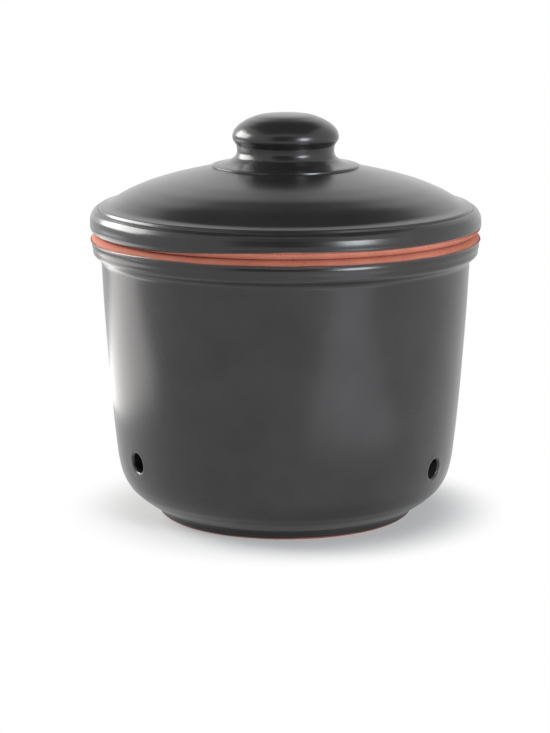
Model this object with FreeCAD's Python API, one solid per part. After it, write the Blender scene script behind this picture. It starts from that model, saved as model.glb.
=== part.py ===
import FreeCAD, Part
import math
import os

# Garlic keeper: a round clay pot with a loose domed lid, both coated outside with a dark satin glaze.
# Millimetres. Z is up, the origin is the centre of the foot on the table, and the front faces -Y.
# Each round piece is an outline in the XZ half-plane, turned once about the Z axis.

# Overall sizes
rim_radius = 67.5           # widest point of the pot's unglazed rim
seat_z = 99.3               # where the lid rests on the rim
lid_radius = 67.95          # widest point of the lid's edge band
total_height = 140.35

# Coats
glaze = 0.35                # thickness of the fired coat
pot_bare_z = 97.1           # the pot is bare clay above this height
lid_bare_z = 101.5          # the lid is bare clay below this height
foot_bare_z = 0.9           # the pot is bare clay below this height

# Foot
foot_radius = 44.5
foot_edge = 0.8             # rounding where the foot meets the table
foot_inner_radius = 39.0
recess_height = 2.6         # hollow under the floor, inside the foot ring
recess_taper = 1.4          # the ring is this much wider at its root
foot_undercut = 0.3         # the foot's rounding starts this far inside its widest point
foot_lean = -14.0           # the side of the foot flares outwards as it rises

# Pot wall
mouth_radius = 59.3
mouth_round = 1.5
bead_round = 2.9            # rounding of the rim from its widest point to the seat
mouth_foot_z = 91.0         # the mouth is upright down to here, where the lid's skirt hangs
inner_middle = (57.3, 60.0)     # radius and height of the inside wall half-way down
inner_foot_radius = 54.3
corner_round = 15.5         # between the inside wall and the floor
floor_z = 8.6               # inside floor

# Air vents: cut by hand, so neither quite level nor quite evenly spaced
vent_azimuths = (-58.7, 59.6, 180.0)    # degrees from the front, as seen from above
vent_heights = (23.3, 21.2, 22.3)
vent_radius = 3.4
vent_lip = 0.9              # rounding of the outer edge of a vent
vent_tilt = -8.0            # a vent is cut square to the wall, which leans out here
vent_lining_depth = 4.2     # how far the glaze runs into a vent
vent_lining = 0.3
vent_reach = 20.0           # longer than the wall is thick, so that a vent goes right through

# Lid
skirt_clearance = 1.6       # between the lid's skirt and the mouth of the pot
skirt_depth = 6.5
skirt_wall = 4.0
skirt_round = 1.2
band_round = 3.0            # rounding of the lid's edge below its widest point
skirt_root_z = 102.0        # the inside of the skirt is upright up to here
boss_radius = 25.6
knob_radius = 18.5
cap_radius = 60.6           # the top of the knob is a shallow round cap
cap_lean = 84.8             # angle of the outward normal where the cap begins
inner_crown = (0, 117.15)   # radius and height of the underside of the dome
inner_shoulder = (28, 115.55)
inner_haunch = (43, 111.75)


def polar(degrees):
    """Unit vector in the XZ plane, leaning up from +X by the given angle."""
    lean = math.radians(degrees)
    return FreeCAD.Vector(math.cos(lean), 0, math.sin(lean))


def point(r, z):
    return FreeCAD.Vector(r, 0, z)


def line(start, end):
    return Part.LineSegment(start, end).toShape()


def arc(centre, radius, start_lean, end_lean):
    """Arc about a centre, from one angle of its outward normal to another."""
    middle_lean = (start_lean + end_lean) / 2
    ends = [centre + polar(lean) * radius for lean in (start_lean, middle_lean, end_lean)]
    return Part.Arc(*ends).toShape()


def sunk(station, depth):
    """A station is (radius, height, angle of the outward normal); it is moved inwards by depth."""
    r, z, lean = station
    return point(r, z) - polar(lean) * depth


def skin(stations, depth=0.0):
    """Smooth curve through stations, square to the normal at both ends."""
    curve = Part.BSplineCurve()
    points = [sunk(station, depth) for station in stations]
    first = polar(stations[0][2] + 90)
    last = polar(stations[-1][2] + 90)
    curve.interpolate(Points=points, InitialTangent=first, FinalTangent=last)
    return curve.toShape()


def end_of(edge):
    return edge.valueAt(edge.LastParameter)


def start_of(edge):
    return edge.valueAt(edge.FirstParameter)


def turned(edges):
    """Solid made by turning a closed outline about the Z axis."""
    wire = Part.Wire(Part.__sortEdges__(edges))
    face = Part.Face(wire)
    solid = face.revolve(FreeCAD.Vector(0, 0, 0), FreeCAD.Vector(0, 0, 1), 360)
    if solid.Volume < 0:
        solid.reverse()
    return solid


# Outer skin of the pot, from the foot up to where the glaze ends on the rim

bead_centre = point(rim_radius - bead_round, seat_z - bead_round)
bead_bare_lean = math.degrees(math.asin((pot_bare_z - bead_centre.z) / bead_round))

foot_side = [
    (foot_radius, foot_bare_z, foot_lean),
    (foot_radius + 0.35, 2.2, foot_lean),
]
foot_fillet = [
    foot_side[-1],
    (45.35, 2.95, -34),
    (47.0, 3.65, -56),
]
belly_and_wall = [
    foot_fillet[-1],
    (49.9, 5.5, -53),
    (52.5, 7.5, -46),
    (55.2, 10.2, -35),
    (57.2, 13.6, -23),
    (58.8, 19.6, -11),
    (59.5, 25.0, -7),
    (61.9, 52.0, -4),
    (63.5, 76.0, -3),
    (64.1, 88.6, -3),
]
collar = [
    belly_and_wall[-1],
    (64.4, 89.8, -28),
    (65.4, 90.9, -46),
    (66.5, 91.9, -38),
    (66.95, 92.8, -8),
    (67.0, 93.7, 2),
    (67.3, 95.0, -10),
    (rim_radius, bead_centre.z, 0),
]


def pot_skin(depth):
    """Edges of the pot's glazed skin, or of the clay under it."""
    edges = [skin(stations, depth) for stations in (foot_side, foot_fillet, belly_and_wall, collar)]
    edges.append(arc(bead_centre, bead_round - depth, 0, bead_bare_lean))
    return edges


def pot_inside():
    """Edges from the seat, down the inside of the wall and along the floor to the axis."""
    mouth_centre = point(mouth_radius + mouth_round, seat_z - mouth_round)
    mouth_foot = point(mouth_radius, mouth_foot_z)
    corner_centre = point(inner_foot_radius - corner_round, floor_z + corner_round)
    inner_wall = Part.BSplineCurve()
    wall_points = [mouth_foot, point(*inner_middle), corner_centre + polar(0) * corner_round]
    inner_wall.interpolate(Points=wall_points, InitialTangent=polar(-90), FinalTangent=polar(-90))
    return [
        arc(mouth_centre, mouth_round, 90, 180),
        line(point(mouth_radius, mouth_centre.z), mouth_foot),
        inner_wall.toShape(),
        arc(corner_centre, corner_round, 0, -90),
        line(point(corner_centre.x, floor_z), point(0, floor_z)),
    ]


def pot_underside():
    """Edges from the axis, round the recess and the foot ring to the bare edge of the foot."""
    ceiling_radius = foot_inner_radius - recess_taper
    inner_edge = point(foot_inner_radius, foot_edge)
    heel_centre = point(foot_radius - foot_undercut - foot_edge, foot_edge)
    toe_centre = point(foot_inner_radius + foot_edge, foot_edge)
    return [
        line(point(0, recess_height), point(ceiling_radius, recess_height)),
        line(point(ceiling_radius, recess_height), inner_edge),
        arc(toe_centre, foot_edge, -180, -90),
        line(point(toe_centre.x, 0), point(heel_centre.x, 0)),
        arc(heel_centre, foot_edge, -90, foot_lean),
        line(heel_centre + polar(foot_lean) * foot_edge, sunk(foot_side[0], 0)),
    ]


def vent_tool(number, radius, flare, depth):
    """Trumpet-mouthed cutter for one vent: a bore of the given depth, flared where it meets the skin."""
    outside = 6.0
    mouth = radius + flare
    flare_centre = point(-flare, mouth)
    edges = [
        line(point(-depth, 0), point(-depth, radius)),
        line(point(-depth, radius), point(-flare, radius)),
        Part.Arc(
            point(-flare, radius),
            flare_centre + polar(-45) * flare,
            point(0, mouth),
        ).toShape(),
        line(point(0, mouth), point(outside, mouth)),
        line(point(outside, mouth), point(outside, 0)),
        line(point(outside, 0), point(-depth, 0)),
    ]
    tool = Part.Face(Part.Wire(edges)).revolve(FreeCAD.Vector(0, 0, 0), FreeCAD.Vector(1, 0, 0), 360)
    height = vent_heights[number]
    wall = belly_and_wall[5]
    tool.rotate(FreeCAD.Vector(0, 0, 0), FreeCAD.Vector(0, 1, 0), -vent_tilt)
    tool.translate(point(wall[0] + (height - wall[1]) * math.tan(math.radians(-vent_tilt)), height))
    tool.rotate(FreeCAD.Vector(0, 0, 0), FreeCAD.Vector(0, 0, 1), vent_azimuths[number] - 90)
    return tool


def make_pot_body():
    """Fired clay pot with its vents, each wider where the glaze lines it."""
    clay = pot_skin(glaze)
    bare_rim = arc(bead_centre, bead_round, bead_bare_lean, 90)
    edges = clay + [line(end_of(clay[-1]), start_of(bare_rim)), bare_rim]
    edges.append(line(point(bead_centre.x, seat_z), point(mouth_radius + mouth_round, seat_z)))
    edges += pot_inside()
    edges.append(line(point(0, floor_z), point(0, recess_height)))
    edges += pot_underside()
    edges.append(line(sunk(foot_side[0], 0), start_of(clay[0])))
    body = turned(edges)
    for number in range(len(vent_azimuths)):
        lined = vent_tool(number, vent_radius + vent_lining, vent_lip, vent_lining_depth)
        through = vent_tool(number, vent_radius, vent_lip, vent_reach)
        body = body.cut(lined).cut(through)
    return body


def make_pot_glaze():
    """Coat on the outside of the pot, which lines the outer part of each vent."""
    clay = pot_skin(glaze)
    outer = pot_skin(0)
    edges = clay + outer
    edges.append(line(start_of(clay[0]), start_of(outer[0])))
    edges.append(line(end_of(clay[-1]), end_of(outer[-1])))
    coat = turned(edges)
    for number in range(len(vent_azimuths)):
        lining = vent_tool(number, vent_radius + vent_lining, vent_lip, vent_lining_depth)
        coat = coat.fuse(lining.common(turned(wall_region())))
    for number in range(len(vent_azimuths)):
        coat = coat.cut(vent_tool(number, vent_radius, vent_lip, vent_reach))
    return coat.removeSplitter()


def wall_region():
    """Outline of all that lies inside the clay's skin near the vents, as far in as the foot ring."""
    clay = skin(belly_and_wall, glaze)
    inside = foot_inner_radius
    top = end_of(clay)
    bottom = start_of(clay)
    return [
        clay,
        line(top, point(inside, top.z)),
        line(point(inside, top.z), point(inside, bottom.z)),
        line(point(inside, bottom.z), bottom),
    ]


# Outer skin of the lid, from where the glaze ends on its edge band up to the top of the knob

band_centre = point(lid_radius - band_round - 0.05, seat_z + band_round)
band_bare_lean = math.degrees(math.asin((lid_bare_z - band_centre.z) / band_round))
skirt_radius = mouth_radius - skirt_clearance

band = [
    (band_centre.x + band_round, band_centre.z, 0),
    (lid_radius, 104.0, 2),
    (67.6, 105.9, 26),
    (66.8, 107.1, 52),
    (65.6, 107.85, 82),
]
groove_bottom = (65.0, 107.7)           # fine groove between the band and the ledge above it
ledge_edge = (64.7, 108.45)
clay_groove = (64.7, 107.35)            # the same groove in the clay, under the glaze
ledge_and_dome = [
    (64.2, 108.75, 78),
    (61.9, 109.4, 70),
    (59.6, 110.65, 60),
    (56.6, 112.4, 60),
    (50.6, 115.1, 66),
    (43.4, 117.5, 72),
    (34.0, 119.9, 76),
    (boss_radius, 121.85, 77),
]
dome_under_boss = [
    ledge_and_dome[-1],
    (12.0, 123.9, 84),
    (0, total_height - 15.9, 90),
]
boss_step = [
    (boss_radius - 0.1, 121.95, 0),
    (boss_radius - 0.25, 122.35, 35),
    (24.8, 122.63, 80),
]
boss_and_neck = [
    boss_step[-1],
    (21.3, 123.35, 74),
    (18.8, 124.35, 52),
    (17.4, 125.6, 22),
    (16.9, 127.2, 0),
    (17.0, 128.6, -6),
]
knob_underside = [
    boss_and_neck[-1],
    (17.15, 129.35, -28),
    (17.55, 129.95, -50),
    (18.15, 130.85, -32),
    (knob_radius, 132.3, 0),
]
cap_centre = point(0, total_height - cap_radius)
cap_edge = cap_centre + polar(cap_lean) * cap_radius
knob_crown = [
    knob_underside[-1],
    (18.1, 134.0, 24),
    (16.8, 135.75, 44),
    (14.0, 137.75, 59),
    (10.6, 139.2, 70),
    (cap_edge.x, cap_edge.z, cap_lean),
]


def band_skin(depth):
    """Edges of the lid's glazed edge band, or of the clay under it."""
    return [arc(band_centre, band_round - depth, band_bare_lean, 0), skin(band, depth)]


def knob_skin(depth):
    """Edges from the boss's edge up to the top of the knob."""
    edges = [skin(stations, depth) for stations in (boss_step, boss_and_neck, knob_underside, knob_crown)]
    edges.append(arc(cap_centre, cap_radius - depth, cap_lean, 90))
    return edges


def lid_underside():
    """Edges from the axis, down the inside of the dome, round the skirt and out along the seat."""
    skirt_inner = skirt_radius - skirt_wall
    skirt_foot = seat_z - skirt_depth
    inner_dome = Part.BSplineCurve()
    skirt_root = point(skirt_inner, skirt_root_z)
    inner_points = [point(*spot) for spot in (inner_crown, inner_shoulder, inner_haunch)] + [skirt_root]
    inner_dome.interpolate(Points=inner_points, InitialTangent=polar(0), FinalTangent=polar(-90))
    outer_round = point(skirt_radius - skirt_round, skirt_foot + skirt_round)
    inner_round = point(skirt_inner + skirt_round, skirt_foot + skirt_round)
    return [
        inner_dome.toShape(),
        line(skirt_root, point(skirt_inner, inner_round.z)),
        arc(inner_round, skirt_round, 180, 270),
        line(point(inner_round.x, skirt_foot), point(outer_round.x, skirt_foot)),
        arc(outer_round, skirt_round, -90, 0),
        line(point(skirt_radius, outer_round.z), point(skirt_radius, seat_z)),
        line(point(skirt_radius, seat_z), point(band_centre.x, seat_z)),
        arc(band_centre, band_round, -90, band_bare_lean),
    ]


def glazed_clay():
    """Edges of the clay from the bare edge of the band up to the boss, under the glaze."""
    edges = band_skin(glaze)
    dome = skin(ledge_and_dome, glaze)
    edges.append(line(end_of(edges[-1]), point(*clay_groove)))
    edges.append(line(point(*clay_groove), start_of(dome)))
    return edges + [dome]


def make_lid_body():
    """Fired clay lid: dome, edge band and skirt."""
    top = glazed_clay() + [skin(dome_under_boss, glaze)]
    under = lid_underside()
    edges = top + under
    edges.append(line(end_of(under[-1]), start_of(top[0])))
    edges.append(line(end_of(top[-1]), start_of(under[0])))
    return turned(edges)


def make_lid_knob():
    """Knob, neck and low boss, stuck onto the dome."""
    edges = knob_skin(glaze)
    seat = skin(dome_under_boss, glaze)
    edges += [seat, line(start_of(seat), start_of(edges[0])), line(end_of(seat), end_of(edges[-1]))]
    return turned(edges)


def make_lid_glaze():
    """Coat over the upper part of the band, the dome, the boss and the knob."""
    outer = band_skin(0)
    dome = skin(ledge_and_dome, 0)
    knob = knob_skin(0)
    outer += [
        line(end_of(outer[-1]), point(*groove_bottom)),
        line(point(*groove_bottom), point(*ledge_edge)),
        line(point(*ledge_edge), start_of(dome)),
        dome,
        line(end_of(dome), start_of(knob[0])),
    ]
    outer += knob
    dome_clay = glazed_clay()
    knob_clay = knob_skin(glaze)
    edges = outer + dome_clay + knob_clay
    edges.append(line(end_of(dome_clay[-1]), start_of(knob_clay[0])))
    edges.append(line(start_of(outer[0]), start_of(dome_clay[0])))
    edges.append(line(end_of(outer[-1]), end_of(knob_clay[-1])))
    return turned(edges)


parts = {
    "pot_body": make_pot_body(),
    "pot_glaze": make_pot_glaze(),
    "lid_body": make_lid_body(),
    "lid_knob": make_lid_knob(),
    "lid_glaze": make_lid_glaze(),
}

os.makedirs("parts", exist_ok=True)
for name, shape in parts.items():
    print(name, "valid", shape.isValid(), "solids", len(shape.Solids), "volume", round(shape.Volume))
    shape.exportStep("parts/" + name + ".step")
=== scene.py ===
import math

import bmesh
import bpy
import numpy as np
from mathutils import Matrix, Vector, noise


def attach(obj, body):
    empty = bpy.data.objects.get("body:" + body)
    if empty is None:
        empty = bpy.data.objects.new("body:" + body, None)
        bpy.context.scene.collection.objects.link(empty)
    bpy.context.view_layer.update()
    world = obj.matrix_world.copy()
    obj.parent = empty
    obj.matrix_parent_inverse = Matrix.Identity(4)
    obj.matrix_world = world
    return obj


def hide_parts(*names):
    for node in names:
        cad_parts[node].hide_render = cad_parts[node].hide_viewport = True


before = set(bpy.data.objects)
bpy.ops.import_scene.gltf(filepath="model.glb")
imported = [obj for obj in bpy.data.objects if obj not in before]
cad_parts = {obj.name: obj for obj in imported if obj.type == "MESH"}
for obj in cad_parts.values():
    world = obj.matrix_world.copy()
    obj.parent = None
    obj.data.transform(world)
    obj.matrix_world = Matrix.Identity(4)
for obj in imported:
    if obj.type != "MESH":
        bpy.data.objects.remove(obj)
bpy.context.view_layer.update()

# The garlic keeper's clay comes from the frame. The two glaze coats are modelled here,
# with their uneven edges and the rounded, lined vents. Profile sizes are in millimetres.
MM = 0.001

# Camera, solved from the photograph's ellipses
image_width = 550
image_height = 733
pot_axis_pixel = 285.6              # where the pot's axis crosses the picture
focal_pixels = 2445.0
camera_distance = 0.8438
camera_height = 0.2231
camera_pitch = 11.53                # degrees below level
sensor = 36.0

# Coats
coat_thickness = 0.30
coat_dip = 0.09                     # depth of the soft dips in the coat
bare_margin = 3                     # within this much of an edge the coat has no dips
dip_margin = 4                      # over this much more they grow to their full depth
pot_columns = 240                   # steps of a coat round the axis
lid_columns = 180
rows_per_stretch = 7                # rows of faces between two stations of a profile
smooth_angle = 38                   # degrees; a sharper fold than this stays sharp
points_of_new_curve = 2

# The bead along an edge of the glaze: how proud it stands at a distance from where the glaze ends
swell_spots = (0, 0.08, 0.20, 0.45, 0.80, 1.2, 1.7, 2.4, 3.5)
swell_heights = (-0.30, -0.02, 0.13, 0.27, 0.32, 0.26, 0.12, 0.03, 0.0)
foot_swell = 0.4                    # the bead at the foot, as a share of the one at the rim
lid_swell = 0.15

# How far from each edge the coat slides along its profile, to lay the edge unevenly
rim_zone = 4.5
foot_zone = 1.2
lid_zone = 6.0

# Where each edge runs: how far it draws back, and its waves (height, waves round the axis, seed)
rim_drawn = 0.50
rim_waves = ((0.42, 1.3, 3.1), (0.16, 6.0, 8.7))
foot_drawn = 0.26
foot_waves = ((0.30, 2.0, 5.5), (0.10, 9.0, 1.2))
lid_waves = ((0.10, 2.5, 2.4), (0.06, 8.0, 7.7))

# Sizes of the pot's skin
rim_radius = 67.5
seat_z = 99.3
bead_round = 2.9
bead_centre = (rim_radius - bead_round, seat_z - bead_round)
foot_lean = -14
heel_centre = (43.4, 0.8)
heel_round = 0.92                   # the coat runs a little way round the heel of the foot
heel_lean = -32

# Vents: angle from the front, and height
vents = ((-58.7, 23.3), (59.6, 21.2), (180.0, 22.3))
vent_radius = 3.4
vent_lip = 0.95                     # rounding of the outer edge
vent_lining_depth = 4.2             # how far the glaze runs in
vent_tilt = -8.0                    # degrees; a vent is square to the wall, which leans out
vent_clearing = 1.5                 # the coat is opened this far outside the lip
vent_margins = (0.75, 0.35)         # rings laid flat on the wall outside the lip
vent_lip_turns = (0, 18, 36, 54, 72, 90)    # degrees round the lip
vent_lining_shares = (0.45, 0.72, 1.0)      # rings down the lining

# Sizes of the lid's skin
lid_radius = 67.95
band_inset = 0.05                   # leaves room for the bead along the edge of the glaze
band_radius = lid_radius - band_inset
band_round = 3.0
band_centre = (band_radius - band_round, seat_z + band_round)
# Where the lid's glaze ends, measured up the band, at angles from the front
edge_azimuths = (-180, -140, -105, -55, -40, -25, -10, 0, 25, 55, 100, 140, 180)
edge_heights = (2.3, 1.2, 0.2, 0.25, 0.85, 1.9, 2.9, 3.3, 2.9, 3.15, 3.3, 2.9, 2.3)
boss_radius = 25.6
knob_radius = 18.5
total_height = 140.35


def on_arc(centre, radius, lean):
    """Station on an arc of the profile: radius, height and angle of the outward normal."""
    turn = math.radians(lean)
    return (centre[0] + radius * math.cos(turn), centre[1] + radius * math.sin(turn), lean)


# Stations of the pot's skin, from the foot up to the rim: radius, height, angle of the normal
pot_stations = [
    on_arc(heel_centre, heel_round, heel_lean),
    (44.53, 1.0, foot_lean),
    (44.85, 2.2, foot_lean),
    (45.35, 2.95, -34),
    (47.0, 3.65, -56),
    (49.9, 5.5, -53),
    (52.5, 7.5, -46),
    (55.2, 10.2, -35),
    (57.2, 13.6, -23),
    (58.8, 19.6, -10),
    (59.5, 25.0, -6.5),
    (61.9, 52.0, -4),
    (63.5, 76.0, -3),
    (64.1, 88.6, -3),
    (64.4, 89.8, -28),
    (65.4, 90.9, -46),
    (66.5, 91.9, -38),
    (66.95, 92.8, -8),
    (67.0, 93.7, -4),
    (67.3, 95.0, -11),
    (rim_radius, bead_centre[1], 0),
    on_arc(bead_centre, bead_round + 0.07, 13),
    on_arc(bead_centre, bead_round + 0.12, 24),
]

# Stations of the lid's skin, from the bottom of the edge band up to the top of the knob.
# Two angles make a sharp corner: the normal before it and the normal after it.
lid_stations = [
    on_arc(band_centre, band_round + 0.10, -66),
    on_arc(band_centre, band_round + 0.12, -40),
    on_arc(band_centre, band_round + 0.08, -16),
    on_arc(band_centre, band_round, 0),
    (band_radius, 104.0, 6),
    (67.52, 105.75, 29),
    (66.75, 107.05, 53),
    (65.6, 107.85, 82),
    (65.05, 107.72, 112, 20),
    (64.8, 108.35, 22),
    (64.25, 108.75, 76),
    (61.9, 109.4, 70),
    (59.6, 110.65, 60),
    (56.6, 112.4, 61),
    (50.6, 115.1, 67),
    (43.4, 117.5, 73),
    (34.0, 119.9, 76.5),
    (boss_radius + 0.1, 121.82, 77, 0),
    (boss_radius + 0.05, 122.28, 10),
    (boss_radius - 0.35, 122.56, 74),
    (21.3, 123.35, 75),
    (18.8, 124.35, 54),
    (17.4, 125.6, 23),
    (16.9, 127.2, 1),
    (17.02, 128.7, -8),
    (17.3, 129.6, -42),
    (18.05, 130.65, -36),
    (knob_radius, 132.3, 0),
    (18.1, 134.0, 25),
    (16.8, 135.75, 44),
    (14.0, 137.75, 59),
    (10.6, 139.2, 70),
    (5.5, 140.1, 84.8),
    (0, total_height, 90),
]


def only(obj):
    """Selects one object and makes it active, with everything else deselected."""
    if bpy.context.object and bpy.context.object.mode != "OBJECT":
        bpy.ops.object.mode_set(mode="OBJECT")
    bpy.ops.object.select_all(action="DESELECT")
    obj.select_set(True)
    bpy.context.view_layer.objects.active = obj


def along(lean):
    """Direction of travel up a profile where the outward normal leans by this many degrees."""
    turn = math.radians(lean + 90)
    return Vector((math.cos(turn), 0, math.sin(turn)))


def draw_profile(name, stations):
    """Draws a smooth profile in the XZ plane through the stations and makes it a mesh."""
    bpy.ops.object.select_all(action="DESELECT")
    bpy.ops.curve.primitive_bezier_curve_add(location=(0, 0, 0))
    profile = bpy.context.object
    profile.name = name
    profile.data.dimensions = "3D"
    profile.data.resolution_u = rows_per_stretch
    spline = profile.data.splines[0]
    spline.bezier_points.add(len(stations) - points_of_new_curve)
    places = [Vector((station[0], 0, station[1])) * MM for station in stations]
    for index, (knot, place, station) in enumerate(zip(spline.bezier_points, places, stations)):
        before = (place - places[index - 1]).length / 3 if index else MM
        after = (places[index + 1] - place).length / 3 if index + 1 < len(places) else MM
        knot.handle_left_type = "FREE"
        knot.handle_right_type = "FREE"
        knot.co = place
        knot.handle_left = place - along(station[2]) * before
        knot.handle_right = place + along(station[-1]) * after
    bpy.ops.object.convert(target="MESH")
    return bpy.context.object


def profile_points(profile):
    """Radius and height of each point of a drawn profile, in order, as an array."""
    return np.array([(v.co.x, v.co.z) for v in profile.data.vertices])


def face_outwards(coat):
    """Turns a skin's faces round if they point inwards. The skin is the active object."""
    widest = max(coat.data.polygons, key=lambda face: face.center.xy.length)
    if widest.normal.xy.dot(widest.center.xy) < 0:
        bpy.ops.object.mode_set(mode="EDIT")
        bpy.ops.mesh.select_all(action="SELECT")
        bpy.ops.mesh.flip_normals()
        bpy.ops.object.mode_set(mode="OBJECT")


def turn_profile(profile, columns):
    """Spins a profile about the Z axis into a skin whose faces point outwards."""
    only(profile)
    bpy.ops.object.mode_set(mode="EDIT")
    bpy.ops.mesh.select_all(action="SELECT")
    bpy.ops.mesh.spin(steps=columns, angle=2 * math.pi, center=(0, 0, 0), axis=(0, 0, 1))
    bpy.ops.mesh.select_all(action="SELECT")
    bpy.ops.mesh.remove_doubles(threshold=1e-6)
    bpy.ops.mesh.normals_make_consistent(inside=False)
    bpy.ops.object.mode_set(mode="OBJECT")
    face_outwards(profile)
    return profile


def lengths_along(points):
    """Distance of each profile point from the first one, along the profile."""
    steps = np.hypot(*np.diff(points, axis=0).T)
    return np.concatenate([[0], np.cumsum(steps)])


def azimuth_of(place):
    """Angle of a place from the front (-Y), positive towards +X."""
    return math.atan2(place.x, -place.y)


def lay_edge(coat, points, zone, run, swell):
    """Lets the coat end unevenly: rows near the first profile point slide along the profile.

    zone is how much of the profile takes part. run gives, for an azimuth, how far the edge draws
    back. swell is the height of the bead along the edge, as a share of the full one.
    """
    lengths = lengths_along(points)
    tangents = np.gradient(points, lengths, axis=0)
    marks = coat.data.attributes.new("from_edge", "FLOAT", "POINT")
    for vertex in coat.data.vertices:
        radius = vertex.co.xy.length
        nearest = int(np.argmin((points[:, 0] - radius) ** 2 + (points[:, 1] - vertex.co.z) ** 2))
        distance = lengths[nearest]
        marks.data[vertex.index].value = distance / MM
        if distance > zone or radius < MM:
            continue
        azimuth = azimuth_of(vertex.co)
        drawn = run(azimuth)
        slid = drawn + distance * (zone - drawn) / zone
        lift = float(np.interp(distance / MM, swell_spots, swell_heights)) * swell * MM
        new_radius = np.interp(slid, lengths, points[:, 0])
        new_height = np.interp(slid, lengths, points[:, 1])
        tangent_r = np.interp(slid, lengths, tangents[:, 0])
        tangent_z = np.interp(slid, lengths, tangents[:, 1])
        new_radius += tangent_z * lift
        new_height -= tangent_r * lift
        vertex.co = (new_radius * math.sin(azimuth), -new_radius * math.cos(azimuth), new_height)


def wander(azimuth, waves, seed):
    """Smooth closed noise round the axis, from -1 to 1."""
    return noise.noise(Vector((waves * math.cos(azimuth), waves * math.sin(azimuth), seed)))


def clear_hole(coat, centre, reach):
    """Opens the coat round a centre, leaves it in edit mode and selects the rim of the hole."""
    only(coat)
    bpy.ops.object.mode_set(mode="EDIT")
    bpy.ops.mesh.select_mode(type="FACE")
    bpy.ops.mesh.select_all(action="DESELECT")
    mesh = bmesh.from_edit_mesh(coat.data)
    for face in mesh.faces:
        if (face.calc_center_median() - centre).length < reach:
            face.select_set(True)
    bmesh.update_edit_mesh(coat.data)
    bpy.ops.mesh.delete(type="FACE")
    bpy.ops.mesh.select_mode(type="EDGE")
    bpy.ops.mesh.select_all(action="DESELECT")
    mesh = bmesh.from_edit_mesh(coat.data)
    for edge in mesh.edges:
        middle = (edge.verts[0].co + edge.verts[1].co) / 2
        if edge.is_boundary and (middle - centre).length < 2 * reach:
            edge.select_set(True)
    bmesh.update_edit_mesh(coat.data)


def vent_rings():
    """Rings of a vent from the outside in: radius, and depth below the wall."""
    rings = [(vent_radius + vent_lip + margin, 0) for margin in vent_margins]
    for lip_turn in map(math.radians, vent_lip_turns):
        ring = vent_radius + vent_lip * (1 - math.sin(lip_turn))
        rings.append((ring, vent_lip * (1 - math.cos(lip_turn))))
    for share in vent_lining_shares:
        rings.append((vent_radius, vent_lip + (vent_lining_depth - vent_lip) * share))
    return rings


def extrude_ring(coat, centre, across, upward, place_at, ring, depth):
    """Extrudes the selected rim once, and spaces the new points evenly round the given ring."""
    bpy.ops.mesh.extrude_edges_move()
    mesh = bmesh.from_edit_mesh(coat.data)
    spots = []
    for vertex in mesh.verts:
        if vertex.select:
            spot = vertex.co - centre
            spots.append((math.atan2(spot.dot(upward), spot.dot(across)), vertex))
    spots.sort(key=lambda pair: pair[0])
    start = spots[0][0]
    for index, (angle, vertex) in enumerate(spots):
        vertex.co = place_at(ring, depth, start + 2 * math.pi * index / len(spots))
    bmesh.update_edit_mesh(coat.data)


def open_vent(coat, points, azimuth, height):
    """Cuts one vent in the coat, with a rounded lip and a lining that runs into the wall."""
    turn = math.radians(azimuth)
    tilt = math.radians(vent_tilt)
    outward = Vector((math.sin(turn), -math.cos(turn), 0))
    across = Vector((math.cos(turn), math.sin(turn), 0))
    square = (outward * math.cos(tilt) + Vector((0, 0, math.sin(tilt)))).normalized()
    upward = square.cross(across)
    order = np.argsort(points[:, 1])

    def on_wall(side, up):
        """Place on the wall at so many mm across and up from the vent's middle."""
        z = height * MM + up * MM
        radius = np.interp(z, points[order, 1], points[order, 0])
        place = across * side * MM
        forward = math.sqrt(radius ** 2 - (side * MM) ** 2)
        return Vector((place.x + outward.x * forward, place.y + outward.y * forward, z))

    def on_ring(ring, depth, angle):
        """Place on a ring about the vent, at a depth below the wall."""
        place = on_wall(ring * math.cos(angle), ring * math.sin(angle) * math.cos(tilt))
        return place - square * depth * MM

    centre = on_wall(0, 0)
    clear_hole(coat, centre, (vent_radius + vent_lip + vent_clearing) * MM)
    for ring, depth in vent_rings():
        extrude_ring(coat, centre, across, upward, on_ring, ring, depth)
    bpy.ops.mesh.select_all(action="SELECT")
    bpy.ops.mesh.normals_make_consistent(inside=False)
    bpy.ops.object.mode_set(mode="OBJECT")


def thicken(coat):
    """Gives a skin the coat's thickness, inwards, and smooths it."""
    only(coat)
    face_outwards(coat)
    wall = coat.modifiers.new("coat_thickness", "SOLIDIFY")
    wall.thickness = coat_thickness * MM
    wall.offset = -1
    bpy.ops.object.modifier_apply(modifier=wall.name)
    bpy.ops.object.shade_smooth_by_angle(angle=math.radians(smooth_angle))


def waved(run, azimuth, waves):
    """Adds an edge's waves to how far it draws back."""
    for height, count, seed in waves:
        run += height * wander(azimuth, count, seed)
    return run * MM


def rim_run(azimuth):
    """How far the pot's glaze stops short of its highest line on the rim."""
    return waved(rim_drawn, azimuth, rim_waves)


def foot_run(azimuth):
    """How far the pot's glaze stops above its lowest line on the foot."""
    return waved(foot_drawn, azimuth, foot_waves)


def lid_edge_run(azimuth):
    """How far the lid's glaze stops above the band's lower edge: least at the left, where it ran."""
    drawn = float(np.interp(math.degrees(azimuth), edge_azimuths, edge_heights))
    return waved(drawn, azimuth, lid_waves)


def lay_foot_edge(coat, points):
    """Lays the lower edge of the pot's coat, and keeps the smaller distance to either edge."""
    rim_marks = [mark.value for mark in coat.data.attributes["from_edge"].data]
    coat.data.attributes.remove(coat.data.attributes["from_edge"])
    lay_edge(coat, points, foot_zone * MM, foot_run, foot_swell)
    marks = coat.data.attributes["from_edge"].data
    for index, rim_mark in enumerate(rim_marks):
        marks[index].value = min(marks[index].value, rim_mark)


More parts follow.
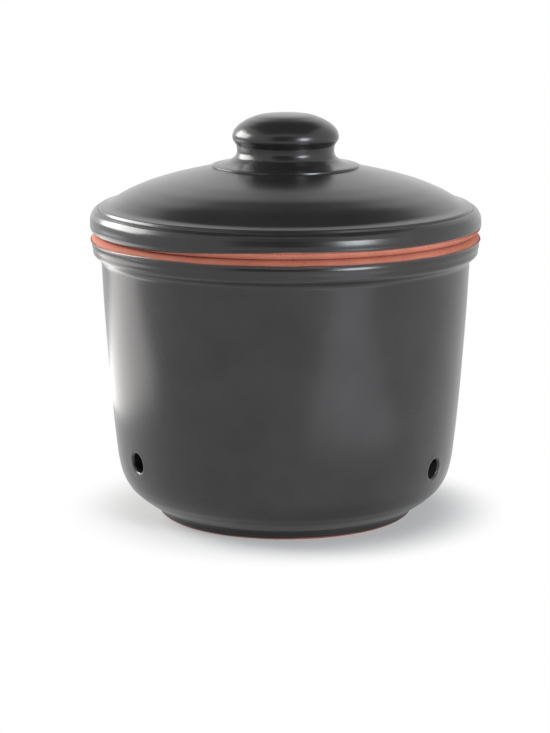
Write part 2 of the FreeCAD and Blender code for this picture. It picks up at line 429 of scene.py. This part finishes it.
def make_uneven(coat):
    """Lets the coat dip a few hundredths of a millimetre here and there, clear of its edges."""
    marks = coat.data.attributes["from_edge"].data
    normals = [vertex.normal.copy() for vertex in coat.data.vertices]
    for vertex, normal, mark in zip(coat.data.vertices, normals, marks):
        dip = 0.5 + 0.35 * noise.noise(vertex.co * 38) + 0.15 * noise.noise(vertex.co * 110)
        dip *= min(1.0, max(0.0, (mark.value - bare_margin) / dip_margin))
        vertex.co -= normal * coat_dip * dip * MM


def make_pot_coat():
    """The coat on the outside of the pot."""
    profile = draw_profile("pot_glaze_coat", pot_stations)
    points = profile_points(profile)
    coat = turn_profile(profile, pot_columns)
    lay_edge(coat, points[::-1], rim_zone * MM, rim_run, 1.0)
    lay_foot_edge(coat, points)
    make_uneven(coat)
    for azimuth, height in vents:
        open_vent(coat, points, azimuth, height)
    thicken(coat)
    return coat


def make_lid_coat():
    """The coat over the lid's band, dome, boss and knob."""
    profile = draw_profile("lid_glaze_coat", lid_stations)
    points = profile_points(profile)
    coat = turn_profile(profile, lid_columns)
    lay_edge(coat, points, lid_zone * MM, lid_edge_run, lid_swell)
    make_uneven(coat)
    thicken(coat)
    return coat


# Materials

def new_material(name):
    material = bpy.data.materials.new(name)
    material.use_nodes = True
    nodes = material.node_tree.nodes
    return material, nodes, material.node_tree.links, nodes["Principled BSDF"]


def add_noise(nodes, links, place, scale, detail, roughness=0.5):
    pattern = nodes.new("ShaderNodeTexNoise")
    pattern.inputs["Scale"].default_value = scale
    pattern.inputs["Detail"].default_value = detail
    pattern.inputs["Roughness"].default_value = roughness
    links.new(place, pattern.inputs["Vector"])
    return pattern.outputs["Fac"]


def add_ramp(nodes, links, value, stops):
    ramp = nodes.new("ShaderNodeValToRGB")
    elements = ramp.color_ramp.elements
    while len(elements) < len(stops):
        elements.new(0.5)
    for element, (position, colour) in zip(elements, stops):
        element.position = position
        element.color = (*colour, 1)
    links.new(value, ramp.inputs["Fac"])
    return ramp.outputs["Color"]


def add_range(nodes, links, value, low, high):
    """Maps 0 to 1 onto low to high."""
    spread = nodes.new("ShaderNodeMapRange")
    spread.inputs["To Min"].default_value = low
    spread.inputs["To Max"].default_value = high
    links.new(value, spread.inputs["Value"])
    return spread.outputs["Result"]


def add_bump(nodes, links, height, distance, strength, under=None):
    bump = nodes.new("ShaderNodeBump")
    bump.inputs["Distance"].default_value = distance
    bump.inputs["Strength"].default_value = strength
    links.new(height, bump.inputs["Height"])
    if under is not None:
        links.new(under, bump.inputs["Normal"])
    return bump.outputs["Normal"]


def dark_glaze():
    """Charcoal satin glaze: faintly mottled, a little uneven, browner where it thins at an edge."""
    material, nodes, links, shader = new_material("dark_satin_glaze")
    place = nodes.new("ShaderNodeTexCoord").outputs["Object"]
    cloud = add_noise(nodes, links, place, 60, 4)
    body = add_ramp(nodes, links, cloud, [
        (0.30, (0.0165, 0.0152, 0.0155)),
        (0.70, (0.0245, 0.0230, 0.0232)),
    ])
    edge = nodes.new("ShaderNodeAttribute")
    edge.attribute_name = "from_edge"
    thin = add_ramp(nodes, links, edge.outputs["Fac"], [
        (0.04, (1.0, 1.0, 1.0)),
        (0.22, (0.0, 0.0, 0.0)),
    ])
    mix = nodes.new("ShaderNodeMix")
    mix.data_type = "RGBA"
    links.new(thin, mix.inputs["Factor"])
    links.new(body, mix.inputs["A"])
    mix.inputs["B"].default_value = (0.085, 0.045, 0.035, 1)
    links.new(mix.outputs["Result"], shader.inputs["Base Color"])
    patches = add_noise(nodes, links, place, 38, 3)
    links.new(add_range(nodes, links, patches, 0.21, 0.29), shader.inputs["Roughness"])
    grain = add_noise(nodes, links, place, 1400, 3)
    links.new(add_bump(nodes, links, grain, 0.00003, 0.25), shader.inputs["Normal"])
    return material


def add_flecks(nodes, links, place):
    """Fine dark and pale specks, which multiply the clay's colour."""
    specks = add_noise(nodes, links, place, 1500, 2)
    return add_ramp(nodes, links, specks, [
        (0.34, (0.80, 0.76, 0.74)),
        (0.45, (1.0, 1.0, 1.0)),
        (0.62, (1.0, 1.0, 1.0)),
        (0.72, (1.10, 1.10, 1.10)),
    ])


def fired_clay():
    """Terracotta: warm, matt, grained, with finer dark and pale specks and faint turning lines."""
    material, nodes, links, shader = new_material("unglazed_terracotta")
    place = nodes.new("ShaderNodeTexCoord").outputs["Object"]
    cloud = add_noise(nodes, links, place, 90, 5)
    body = add_ramp(nodes, links, cloud, [
        (0.28, (0.45, 0.142, 0.090)),
        (0.72, (0.56, 0.195, 0.128)),
    ])
    flecks = add_flecks(nodes, links, place)
    mix = nodes.new("ShaderNodeMix")
    mix.data_type = "RGBA"
    mix.blend_type = "MULTIPLY"
    mix.inputs["Factor"].default_value = 1
    links.new(body, mix.inputs["A"])
    links.new(flecks, mix.inputs["B"])
    links.new(mix.outputs["Result"], shader.inputs["Base Color"])
    links.new(add_range(nodes, links, cloud, 0.78, 0.92), shader.inputs["Roughness"])
    shader.inputs["Specular IOR Level"].default_value = 0.5
    stretch = nodes.new("ShaderNodeMapping")
    stretch.inputs["Scale"].default_value = (6, 6, 900)
    links.new(place, stretch.inputs["Vector"])
    rings = add_noise(nodes, links, stretch.outputs["Vector"], 1, 2)
    grain = add_noise(nodes, links, place, 2200, 4, 0.65)
    turned = add_bump(nodes, links, rings, 0.0002, 0.35)
    links.new(add_bump(nodes, links, grain, 0.00006, 0.3, turned), shader.inputs["Normal"])
    return material


def dress(obj, material):
    obj.data.materials.clear()
    obj.data.materials.append(material)


# Studio, in metres and degrees

floor_size = 30
shadow_reach = 0.05                 # the floor keeps its full shadow this far from the axis
shadow_end = 0.08                   # and from here on it is the background's white
shadow_glow = 0.2                   # how much of that white the shadowed floor has
fill_level = 0.40                   # brightness of the world as a light on the object
light_target = (0, 0, 0.07)
low_panel_height = 0.002

# Name, size, place, turn and shade
cards = (
    ("front_card", 2.6, (0, -2.2, 0.9), (math.radians(90), 0, 0), 0.02),
    ("ceiling_card", 3.0, (0, 0.6, 2.2), (0, 0, 0), 0.25),
)
# Name, direction round from the front, direction up, distance, width, height, brightness, colour
soft_lights = (
    ("left_soft_box", -113, 21, 1.0, 0.74, 0.48, 11.5, (1.0, 0.99, 0.98)),
    ("right_strip_box", 41, 14, 1.1, 0.34, 0.44, 17.0, (0.90, 0.95, 1.0)),
    ("back_box", 180, 16, 1.7, 3.0, 1.2, 0.25, (1.0, 1.0, 1.0)),
)
# Name, direction round from the front, distance, width, length, brightness, colour
low_lights = (
    ("left_low_panel", -117, 0.45, 0.27, 0.58, 2.3, (1.0, 0.98, 0.97)),
    ("right_low_panel", 37, 0.36, 0.14, 0.46, 0.9, (0.9, 0.94, 1.0)),
)


def new_light(name, width, length, radiance, colour):
    """Rectangular light whose face has the given brightness."""
    lamp = bpy.data.lights.new(name, "AREA")
    lamp.shape = "RECTANGLE"
    lamp.size = width
    lamp.size_y = length
    lamp.energy = radiance * width * length * math.pi
    lamp.color = colour
    light = bpy.data.objects.new(name, lamp)
    bpy.context.scene.collection.objects.link(light)
    return light


def add_soft_light(name, azimuth, elevation, distance, width, height, radiance, colour):
    """Soft box aimed at the pot, placed by its direction from the front, with its brightness."""
    turn = math.radians(azimuth)
    rise = math.radians(elevation)
    target = Vector(light_target)
    direction = Vector((
        math.sin(turn) * math.cos(rise),
        -math.cos(turn) * math.cos(rise),
        math.sin(rise),
    ))
    light = new_light(name, width, height, radiance, colour)
    light.location = target + direction * distance
    light.rotation_euler = (-direction).to_track_quat("-Z", "Y").to_euler()


def add_low_light(name, azimuth, distance, width, length, radiance, colour):
    """Bright panel lying on the table beside the pot, which the side of the pot mirrors."""
    turn = math.radians(azimuth)
    light = new_light(name, width, length, radiance, colour)
    light.location = (distance * math.sin(turn), -distance * math.cos(turn), low_panel_height)
    light.rotation_euler = (math.pi, 0, turn)
    light.visible_camera = False


def add_card(name, size, location, rotation, shade):
    """Dark studio card that shows only in reflections, and keeps stray light off."""
    bpy.ops.object.select_all(action="DESELECT")
    bpy.ops.mesh.primitive_plane_add(size=size, location=location, rotation=rotation)
    card = bpy.context.object
    card.name = name
    material, nodes, links, shader = new_material(name + "_black")
    shader.inputs["Base Color"].default_value = (shade, shade, shade, 1)
    shader.inputs["Roughness"].default_value = 1
    dress(card, material)
    card.visible_camera = False


def white_share(nodes, links):
    """How much of the floor is the background's white: little in the shadow, all of it far off."""
    place = nodes.new("ShaderNodeTexCoord").outputs["Object"]
    reach = nodes.new("ShaderNodeVectorMath")
    reach.operation = "LENGTH"
    links.new(place, reach.inputs[0])
    spread = nodes.new("ShaderNodeMapRange")
    spread.interpolation_type = "SMOOTHSTEP"
    spread.inputs["From Min"].default_value = shadow_reach
    spread.inputs["From Max"].default_value = shadow_end
    spread.inputs["To Min"].default_value = shadow_glow
    spread.inputs["To Max"].default_value = 1.0
    links.new(reach.outputs["Value"], spread.inputs["Value"])
    seen = seen_rays(nodes, links)
    share = nodes.new("ShaderNodeMath")
    share.operation = "MULTIPLY"
    links.new(spread.outputs["Result"], share.inputs[0])
    links.new(seen, share.inputs[1])
    return share.outputs["Value"]


def add_floor():
    """White floor: it looks white to the camera and in reflections, and keeps the pot's shadow."""
    bpy.ops.object.select_all(action="DESELECT")
    bpy.ops.mesh.primitive_plane_add(size=floor_size, location=(0, 0, 0))
    floor = bpy.context.object
    floor.name = "studio_floor"
    material, nodes, links, shader = new_material("white_floor")
    shader.inputs["Base Color"].default_value = (0.86, 0.86, 0.86, 1)
    shader.inputs["Roughness"].default_value = 1
    shader.inputs["Specular IOR Level"].default_value = 0
    glow = nodes.new("ShaderNodeEmission")
    glow.inputs["Strength"].default_value = 1
    mix = nodes.new("ShaderNodeMixShader")
    links.new(white_share(nodes, links), mix.inputs["Fac"])
    links.new(shader.outputs["BSDF"], mix.inputs[1])
    links.new(glow.outputs["Emission"], mix.inputs[2])
    links.new(mix.outputs["Shader"], nodes["Material Output"].inputs["Surface"])
    dress(floor, material)


def seen_rays(nodes, links):
    """1 for rays from the camera, mirrors and glass, and 0 for light on the object."""
    path = nodes.new("ShaderNodeLightPath")
    total = path.outputs["Is Camera Ray"]
    for name in ("Is Glossy Ray", "Is Transmission Ray"):
        either = nodes.new("ShaderNodeMath")
        either.operation = "MAXIMUM"
        links.new(total, either.inputs[0])
        links.new(path.outputs[name], either.inputs[1])
        total = either.outputs["Value"]
    return total


def set_world():
    """White background, and a plain even fill light."""
    world = bpy.data.worlds.new("studio")
    bpy.context.scene.world = world
    world.use_nodes = True
    nodes = world.node_tree.nodes
    links = world.node_tree.links
    background = nodes["Background"]
    background.inputs["Color"].default_value = (1, 1, 1, 1)
    level = nodes.new("ShaderNodeMapRange")
    level.inputs["To Min"].default_value = fill_level
    level.inputs["To Max"].default_value = 1.0
    links.new(seen_rays(nodes, links), level.inputs["Value"])
    links.new(level.outputs["Result"], background.inputs["Strength"])


def add_camera():
    data = bpy.data.cameras.new("camera")
    data.sensor_width = sensor
    data.lens = focal_pixels * sensor / image_height
    camera = bpy.data.objects.new("camera", data)
    bpy.context.scene.collection.objects.link(camera)
    camera.location = (0, -camera_distance, camera_height)
    aside = math.atan((pot_axis_pixel - image_width / 2) / focal_pixels)
    camera.rotation_euler = (math.radians(90 - camera_pitch), 0, aside)
    bpy.context.scene.camera = camera


clay = fired_clay()
glazed = dark_glaze()
for node in ("pot_body", "lid_body", "lid_knob"):
    dress(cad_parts[node], clay)

pot_coat = make_pot_coat()
dress(pot_coat, glazed)
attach(pot_coat, "pot")
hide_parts("pot_glaze")

lid_coat = make_lid_coat()
dress(lid_coat, glazed)
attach(lid_coat, "lid")
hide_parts("lid_glaze")

add_floor()
set_world()
for card in cards:
    add_card(*card)
for light in soft_lights:
    add_soft_light(*light)
for light in low_lights:
    add_low_light(*light)
add_camera()

bpy.context.scene.view_settings.view_transform = "Standard"
